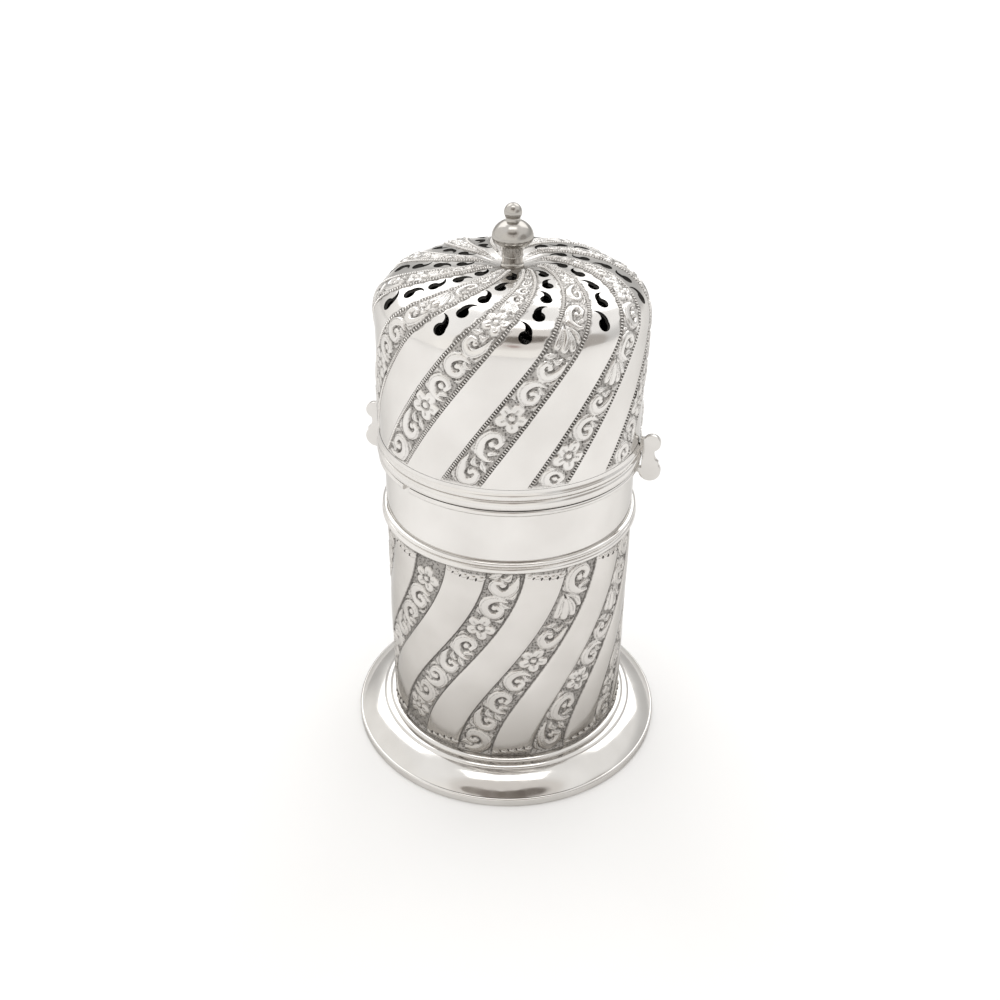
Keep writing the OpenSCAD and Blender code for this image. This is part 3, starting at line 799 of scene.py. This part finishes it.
def make_cover():
    """The cover's outer face in two halves, with its piercings, and the inside of its pierced patches."""
    row_h = 0.178
    rows = round((cover_end - moulding_h) / row_h)
    run = np.concatenate([[0], np.linspace(moulding_h, cover_end, rows)])
    r = along_cover(section[:, 0], run)
    slope, length = slope_along(cover_swirl(run), run, r)
    offset = np.radians(chased_angles) * r[:, None]
    across = offset * np.cos(slope)[:, None]
    along = length[:, None] + offset * np.sin(slope)[:, None]
    half_widths = math.radians(half_chased) * r * np.cos(slope)
    fade = cover_fade(run)[:, None]
    cord_w = 0.78
    edge_shadow_tone = 1.9
    flower_r = 3.5
    ground_depth = 0.06
    edge_soft = 0.15
    least_room = 0.3
    end_margin = 0.3
    flower_high = 3
    relief_h = 0.46
    # A painted shade channel along both edges of each chased band, under the rows of grains
    edge = np.clip((np.abs(across) - half_widths[:, None] + cord_w) / edge_soft, 0, 1)
    top = run_at(7)

    def room(y):
        return np.maximum(np.interp(y, length, half_widths) - cord_w, least_room)

    # Flowers stand at these running lengths, in turn from band to band
    flower_runs = [(21.1, 50.6), (11.6, 41.6), (16.6, 45.6), (24.6, 52.6), (21.1, 40.6)]
    heights = np.zeros((len(run), bands, per_band))
    dark = np.zeros((len(run), bands, per_band))
    heights[:, :, ~is_chased] = -plain_hollow * (1 - column_share[~is_chased] ** 2)
    for k in range(bands):
        flowers = [f for f in flower_runs[(k + 2) % len(flower_runs)] if f < top - flower_high]
        band = Band(across, along)
        ends = np.interp([moulding_h + end_margin, top], run, length)
        band.fill(ends[0], ends[1], np.interp(flowers, run, length), room, flower_r, k + 1)
        heights[:, k, is_chased] = relief_h * band.field - ground_depth
        dark[:, k, is_chased] = np.maximum(band.dark, edge_shadow_tone * edge)
    grid = cover_point(all_angles, run[:, None], heights.reshape(len(run), -1) * fade)
    # The darkness fades by up to half from partway up the wall to the crown
    crown_fade_run = 0.6 * wall_h
    crown_fade_share = 0.5
    crown_fade = 1 - crown_fade_share * ease((run - crown_fade_run) / (top - crown_fade_run))[:, None]
    dark = dark.reshape(len(run), -1) * fade * crown_fade
    normals = grid_normals(grid)

    # Over the dome, the plain bands give way to pierced patches
    first_comma = wall_h + comma_first
    last_comma = first_comma + comma_step * (commas - 1)
    low_row = int(np.argmax(run > first_comma - patch_below))
    high_row = int(np.argmax(run > last_comma + patch_above))
    keep = np.ones((len(run) - 1, columns), bool)
    keep[low_row:high_row, np.arange(columns) % per_band >= chased_columns] = False
    side_rows = np.arange(low_row, high_row + 1)
    plain_ids = np.arange(chased_columns + 1, per_band)
    loop_rows = np.concatenate([np.full(len(plain_ids), low_row), side_rows,
                                np.full(len(plain_ids), high_row), side_rows[::-1]])
    loop_columns = np.concatenate([plain_ids, np.full(len(side_rows), per_band), plain_ids[::-1],
                                   np.full(len(side_rows), chased_columns)])
    loop_angles = np.concatenate([column_angles, [pitch - half_chased]])[loop_columns]
    border = np.stack([np.radians(loop_angles - pitch / 2) * r[loop_rows], run[loop_rows]], 1)
    loops = comma_loops()
    flat, patch = pierced_patch(border, loops)
    patch_run = flat[:, 1]
    patch_angle = pitch / 2 + np.degrees(flat[:, 0] / along_cover(section[:, 0], patch_run))
    new = np.arange(len(border), len(flat))
    rims = np.arange(len(border), len(border) + sum(len(loop) for loop in loops))
    count = columns // 2 + 1
    small = 0.02
    lining_points = []
    lining_faces = []
    for half, name in enumerate(("cover_relief_a", "cover_relief_b")):
        points = []
        directions = []
        faces = []
        for i in range(bands // 2):
            angle = (half * bands // 2 + i) * pitch + patch_angle
            ids = np.empty(len(flat), int)
            ids[:len(border)] = loop_rows * count + i * per_band + loop_columns
            ids[new] = len(run) * count + i * len(new) + np.arange(len(new))
            a, s = angle[new], patch_run[new]
            points.append(plain_sheet(a, s))
            way = np.cross(plain_sheet(a + small, s) - plain_sheet(a - small, s),
                           plain_sheet(a, s + small) - plain_sheet(a, s - small))
            directions.append(way / np.linalg.norm(way, axis=1, keepdims=True))
            faces += ids[patch].tolist()

            # Inside of the sheet, and the walls of the piercings, in near black as painted shade
            base = sum(len(p) for p in lining_points)
            lining_points.append(cover_point(angle, patch_run, np.full(len(flat), -cover_sheet)))
            lining_points.append(plain_sheet(angle[rims], patch_run[rims]))
            lining_faces += (base + patch[:, ::-1]).tolist()
            first = 0
            for loop in loops:
                here = first + np.arange(len(loop))
                after = first + np.roll(np.arange(len(loop)), -1)
                upper = base + len(flat)
                lower = base + len(border)
                walls = np.stack([upper + here, upper + after, lower + after, lower + here], 1)
                lining_faces += walls.tolist()
                first += len(loop)
        extra = (np.concatenate(points), np.concatenate(directions), faces)
        half_sheet(name, half, grid, normals, dark, keep, extra, "cover", ["cover_shell"], chased)
    piece("cover_lining", np.concatenate(lining_points), lining_faces, "cover",
          ["cover_shell"], hollow)


make_cover()


def pellets(name, surface, angle, run, radius, slant, size, body, nodes, material):
    """Rounded grains on a surface; size is half length, half width and height, as numbers or columns."""
    steps = 8
    shares = (1.0, 0.72, 0.36)
    sunk_rim = 0.05
    around = np.radians(np.arange(steps) * 360 / steps)
    a = np.radians(slant)
    rings = []
    for share in shares:
        u = size[0] * share * np.cos(around)
        v = size[1] * share * np.sin(around)
        x = u * np.cos(a)[:, None] - v * np.sin(a)[:, None]
        y = u * np.sin(a)[:, None] + v * np.cos(a)[:, None]
        h = size[2] * math.sqrt(1 - share ** 2) - sunk_rim * (share == 1)
        rings.append(surface(angle[:, None] + np.degrees(x / radius[:, None]), run[:, None] + y, h,
                             run[:, None]))
    tops = surface(angle, run, np.ravel(size[2]), run)[:, None]
    points = np.concatenate(rings + [tops], 1)
    per = points.shape[1]
    faces = []
    for ring in range(len(shares) - 1):
        for i in range(steps):
            j = (i + 1) % steps
            low, high = ring * steps, (ring + 1) * steps
            faces.append([low + i, low + j, high + j, high + i])
    last = (len(shares) - 1) * steps
    caps = [[last + i, last + (i + 1) % steps, per - 1] for i in range(steps)]
    every = []
    for n in range(len(points)):
        every += [[n * per + i for i in f] for f in faces + caps]
    return piece(name, points.reshape(-1, 3), every, body, nodes, material)


def cover_grain(angle, run, out, home):
    """A point of a grain on the cover; its own height's swirl is taken off, so that it isn't sheared."""
    return cover_point(angle + cover_swirl(home) - cover_swirl(run), run, out + 0 * run)


def make_cord():
    """Rows of grains along both edges of the cover's chased bands, square to the edges."""
    cord_step = 0.52
    cord_inset = 0.36
    cord_start = 0.5
    cord_end_r = 6
    run = np.arange(moulding_h + cord_start, run_at(cord_end_r), cord_step)
    r = along_cover(section[:, 0], run)
    lean = np.radians(cover_lean + cover_lean_gain * (run - moulding_h)) * r
    slant = -np.degrees(np.arctan(lean))
    from_middle = half_chased - np.degrees(cord_inset / r)
    angles = [k * pitch + side * from_middle for k in range(bands) for side in (-1, 1)]
    rows = len(angles)
    pellets("cover_edge_cord", cover_grain, np.concatenate(angles), np.tile(run, rows), np.tile(r, rows),
            np.tile(slant, rows), (0.4, 0.17, 0.2), "cover", ["cover_shell"], polished)


make_cord()


def barrel_grain(angle, z, out, home):
    """A point of a grain on a plain band of the barrel."""
    share = np.clip(((angle % pitch) - pitch / 2) / half_plain, -1, 1)
    swell = plain_swell * (1 - share ** 2) * barrel_fade(z)
    return barrel_point(angle + barrel_swirl(home) - barrel_swirl(z), z, swell + out)


def make_borders():
    """Leafy edgings at both ends of the barrel's plain bands: lobes on a curve, and grains between them
    painted dark as the shade of cuts.
    """
    lobes = np.linspace(-0.78, 0.8, 5)
    cuts = (lobes[1:] + lobes[:-1]) / 2
    for name, end, way in (("barrel_top", chase_high_z, -1), ("barrel_foot", chase_low_z, 1)):
        # Each row's last number is its darkness: the cut grains are painted shade
        for kind, shares, drop, slant, size, shade in (
                ("lobes", lobes, 0.0, 14, (1.0, 0.62, 0.34), 0.05),
                ("cuts", cuts, 0.34, 58, (0.5, 0.24, 0.26), 1.8)):
            angle = np.concatenate([(k + 0.5) * pitch + half_plain * shares for k in range(bands)])
            z = np.tile(end + way * (border_hang(shares) + drop), bands)
            grow = np.tile(0.9 + 0.22 * shares, bands)[:, None]
            made = pellets(name + "_" + kind, barrel_grain, angle, z, np.full(len(z), barrel_r),
                           np.full(len(z), -way * slant), [s * grow for s in size], "body",
                           ["barrel"], barrel_shaded)
            paint(made, np.full(len(made.data.vertices), shade))


make_borders()

# Inside of the barrel, in a darker silver as painted shade
lining_gap = 0.1
lining_r = barrel_r - chase_depth - lining_gap
lathe("barrel_lining", [(barrel_bore_r, barrel_z), (lining_r, barrel_z), (lining_r, joint_z),
                        (barrel_bore_r, joint_z)],
      "body", ["barrel"], inner)

# Foot: a flat-faced edge, a sheet that steepens outwards, and a small skirt under the bead
low_round = 0.3
high_round = 0.5
lathe("foot_edge", [(foot_r - foot_edge_w, 0)]
      + arc((foot_r - low_round, low_round), (low_round, low_round), -90, 0, 8)
      + arc((foot_r - high_round, foot_edge_h - high_round), (high_round, high_round), 0, 90, 12)
      + [(foot_r - foot_edge_w, foot_edge_h)],
      "body", ["foot_rim"], foot_finish)
foot_inner_r = barrel_r + solder_gap
skirt_r = foot_inner_r + foot_bead_d + skirt_w
seat_z = foot_edge_h + solder_gap
slopes = np.radians(np.linspace(foot_slopes[0], foot_slopes[1], 40))
sweep_r = (foot_r - foot_edge_h / 4 - skirt_r) / (math.sin(slopes[-1]) - math.sin(slopes[0]))
sheet_r = skirt_r + sweep_r * (np.sin(slopes) - math.sin(slopes[0]))
sheet_z = seat_z + sweep_r * (np.cos(slopes) - math.cos(slopes[-1]))
under_z = np.maximum(sheet_z - foot_sheet, seat_z)
lathe("foot_sheet", [(foot_inner_r, foot_h)]
      + arc((skirt_r - skirt_w, sheet_z[0]), (skirt_w, skirt_h), 150, 0, 24)
      + list(zip(sheet_r, sheet_z)) + list(zip(sheet_r - foot_sheet / 2, under_z))[::-1]
      + [(foot_inner_r, foot_h - foot_sheet)],
      "body", ["foot_flange"], foot_finish)
lathe("foot_bead_wire", half_round(barrel_r + solder_gap, foot_bead_d - solder_gap, foot_h + solder_gap,
                                   foot_bead_d - solder_gap),
      "body", ["foot_bead"], foot_finish)

# Girdle, collar and lip
girdle_z = joint_z - girdle_w / 2
reed_h = girdle_share * girdle_w
lathe("girdle_reeds", half_round(barrel_r + solder_gap, girdle_out - solder_gap, girdle_z, reed_h)
      + half_round(barrel_r + solder_gap, girdle_out - girdle_step - solder_gap, girdle_z + reed_h,
                   girdle_w - reed_h)[1:],
      "body", ["girdle_wire"], polished)
lathe("collar_wall", [(barrel_r, joint_z), (barrel_r, lip_z), (barrel_r - collar_sheet, lip_z),
                      (barrel_r - collar_sheet, joint_z)],
      "body", ["collar"], polished)
lip_round = 0.12
softened("lip_edge", "lip", lip_round, "body", polished)

# Cover's moulding and lugs
cove_z = cover_z + torus_h + moulding_bead_h
cove_h = moulding_h - torus_h - moulding_bead_h
cove_w = 0.3
wall_r = cover_r + solder_gap
lathe("moulding_wires", half_round(wall_r, torus_out - solder_gap, cover_z, torus_h)
      + half_round(wall_r, moulding_bead_out - solder_gap, cover_z + torus_h, moulding_bead_h)[1:-4]
      + arc((wall_r + cove_w, cove_z + cove_h), (cove_w, cove_h), 250, 180, 10),
      "cover", ["cover_moulding"], polished)
lug_round = 0.22
lug_inward = 0.3
for side in ("right", "left"):
    softened("lug_plate_" + side, "lug_" + side, lug_round, "cover", foot_finish,
             lug_inward)


# Finial
def ellipse_h(half_w, h, x):
    """Height of an ellipse at a distance from its middle."""
    return h * math.sqrt(1 - (x / half_w) ** 2)


ball_z = finial_top - ball_r
neck_z = ball_z - math.sqrt(ball_r ** 2 - neck_r ** 2) - neck_h
bun_z = neck_z - ellipse_h(bun_r, bun_top_h, neck_r)
finial_z = bun_z - ellipse_h(bun_r, bun_low_h, stem_r) - stem_h
sink = 1
sink_in = 0.3
ring_room = 0.25
neck_flare = 0.15
neck_low = 0.25
neck_high = 0.1
axis_r = 0.01
ring_r = stem_foot_r - stem_r
stem_turn = math.degrees(math.acos(stem_r / bun_r))
neck_turn = math.degrees(math.acos((neck_r + neck_flare) / bun_r))
ball_turn = math.degrees(math.acos(neck_r / ball_r))
lathe("finial_knob", [(axis_r, finial_z - sink), (stem_foot_r - sink_in, finial_z - sink),
                      (stem_foot_r, finial_z)]
      + arc((stem_foot_r, finial_z + stem_h / 4), (ring_r, stem_h / 4 - ring_room), 270, 180, 10)
      + arc((stem_r, finial_z + stem_h / 2), (0.6 * ring_r, 0.8 * ring_r), -80, 80, 12)
      + arc((0, bun_z), (bun_r, bun_low_h), -stem_turn, 0, 24)
      + arc((0, bun_z), (bun_r, bun_top_h), 0, neck_turn, 28)[1:]
      + [(neck_r, neck_z + neck_low), (neck_r, neck_z + neck_h - neck_high)]
      + arc((0, ball_z), (ball_r, ball_r), -ball_turn, 89.5, 30),
      "cover", ["finial"], knob_finish)

# The hidden solids keep their shape
for node in ("base_plate", "cover_bezel", "finial_nut"):
    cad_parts[node].data.materials.clear()
    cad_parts[node].data.materials.append(inner)

# Floor
reach = 10.0
floor_white = (0.95, 0.95, 0.95, 1)
floor_rough = 0.85
floor_mesh = bpy.data.meshes.new("floor")
floor_mesh.from_pydata([(-reach, -reach, 0), (reach, -reach, 0), (reach, reach, 0), (-reach, reach, 0)], [],
                       [(0, 1, 2, 3)])
floor = add("floor", floor_mesh)
paper = bpy.data.materials.new("floor_paper")
paper.use_nodes = True
paper_shader = paper.node_tree.nodes["Principled BSDF"]
paper_shader.inputs["Base Color"].default_value = floor_white
paper_shader.inputs["Roughness"].default_value = floor_rough
floor_mesh.materials.append(paper)

# Camera, in the photograph's frame turned to the part's
photo_turn = math.radians(13.5)
elevation = math.radians(31.325)
distance = 264.5 * MM
aim = Vector((-2.1 * MM, 0, 60.3 * MM))
roll = math.radians(0.526)
camera = add("camera", bpy.data.cameras.new("camera"))
camera.data.lens = 41
camera.data.sensor_width = 36
camera.data.clip_start = 0.01
spot = aim + distance * Vector((0, -math.cos(elevation), math.sin(elevation)))
turn = Matrix.Rotation(photo_turn, 4, "Z")
tilt = Matrix.Rotation(math.pi / 2 - elevation, 4, "X")
camera.matrix_world = turn @ Matrix.Translation(spot) @ tilt @ Matrix.Rotation(roll, 4, "Z")
bpy.context.scene.camera = camera

# Light: a pale tent, grey above the camera, with paler zones low on the left and dark room patches
world = bpy.data.worlds.new("tent")
world.use_nodes = True
bpy.context.scene.world = world
tent = world.node_tree
direction = tent.nodes.new("ShaderNodeTexCoord").outputs["Generated"]


def compass(azimuth, height):
    """A direction; the azimuth is from the camera's side towards the right."""
    a, e = math.radians(azimuth), math.radians(height)
    return turn @ Vector((math.sin(a) * math.cos(e), -math.cos(a) * math.cos(e), math.sin(e)))


def tent_zone(colour_below, azimuth, height, edge_out, edge_in, colour):
    """A round zone of the tent, with a soft edge; all in degrees."""
    toward = tent.nodes.new("ShaderNodeVectorMath")
    toward.operation = "DOT_PRODUCT"
    toward.inputs[1].default_value = compass(azimuth, height)
    link(tent, direction, toward.inputs[0])
    fall = tent.nodes.new("ShaderNodeMapRange")
    fall.interpolation_type = "SMOOTHSTEP"
    fall.inputs["From Min"].default_value = math.cos(math.radians(edge_out))
    fall.inputs["From Max"].default_value = math.cos(math.radians(edge_in))
    link(tent, toward.outputs["Value"], fall.inputs["Value"])
    layer = tent.nodes.new("ShaderNodeMix")
    layer.data_type = "RGBA"
    layer.inputs[7].default_value = (*colour, 1)
    link(tent, fall.outputs["Result"], layer.inputs["Factor"])
    link(tent, colour_below, layer.inputs[6])
    return layer.outputs[2]


split = tent.nodes.new("ShaderNodeSeparateXYZ")
link(tent, direction, split.inputs[0])
ramp = tent.nodes.new("ShaderNodeValToRGB")
link(tent, split.outputs["Z"], ramp.inputs["Fac"])

# Brightness of the tent by the height of its direction
stops = [(0.0, 0.62), (0.12, 0.55), (0.3, 0.6), (0.5, 0.84), (0.85, 0.86), (1.0, 0.8)]
while len(ramp.color_ramp.elements) < len(stops):
    ramp.color_ramp.elements.new(0.5)
for element, (place, value) in zip(ramp.color_ramp.elements, stops):
    element.position = place
    element.color = (value, 0.995 * value, 0.985 * value, 1)
lit = ramp.outputs["Color"]

# Zones of the tent: azimuth, height, outer and inner edge, and colour
zones = [(-22, 0, 58, 42, (0.88, 0.865, 0.835)),
         (-102, 14, 42, 26, (0.86, 0.85, 0.83)),
         (62, 12, 22, 17, (0.4, 0.38, 0.36)),
         (0, 50, 36, 27, (0.7, 0.675, 0.65)),
         (-26, 49, 9, 7, (0.3, 0.275, 0.25)),
         (-10, 47, 10, 8, (0.24, 0.215, 0.195)),
         (7, 47, 11, 8.5, (0.2, 0.18, 0.16)),
         (22, 50, 10, 8, (0.17, 0.15, 0.135)),
         (3, 29, 4.5, 3, (0.3, 0.21, 0.19))]
for zone in zones:
    lit = tent_zone(lit, *zone)
tent_strength = 1.26
background = tent.nodes["Background"]
background.inputs["Strength"].default_value = tent_strength
link(tent, lit, background.inputs["Color"])


lamp_aim = Vector((0, 0, 0.06))


def lamp(name, azimuth, height, away, wide, deep, power):
    """A broad lamp aimed at the caster, at a distance in metres."""
    made = add(name, bpy.data.lights.new(name, "AREA"))
    made.data.shape = "RECTANGLE"
    made.data.size = wide
    made.data.size_y = deep
    made.data.energy = power
    at = away * compass(azimuth, height)
    made.location = at + lamp_aim
    made.rotation_euler = (-at).to_track_quat("-Z", "Y").to_euler()


lamp("lamp_left", -148, 45, 1.6, 1.0, 1.0, 3.6)
lamp("lamp_right", 148, 42, 1.6, 1.0, 1.0, 3.6)
lamp("lamp_top", 0, 86, 1.6, 0.9, 0.42, 2.0)

bpy.context.scene.view_settings.view_transform = "Standard"
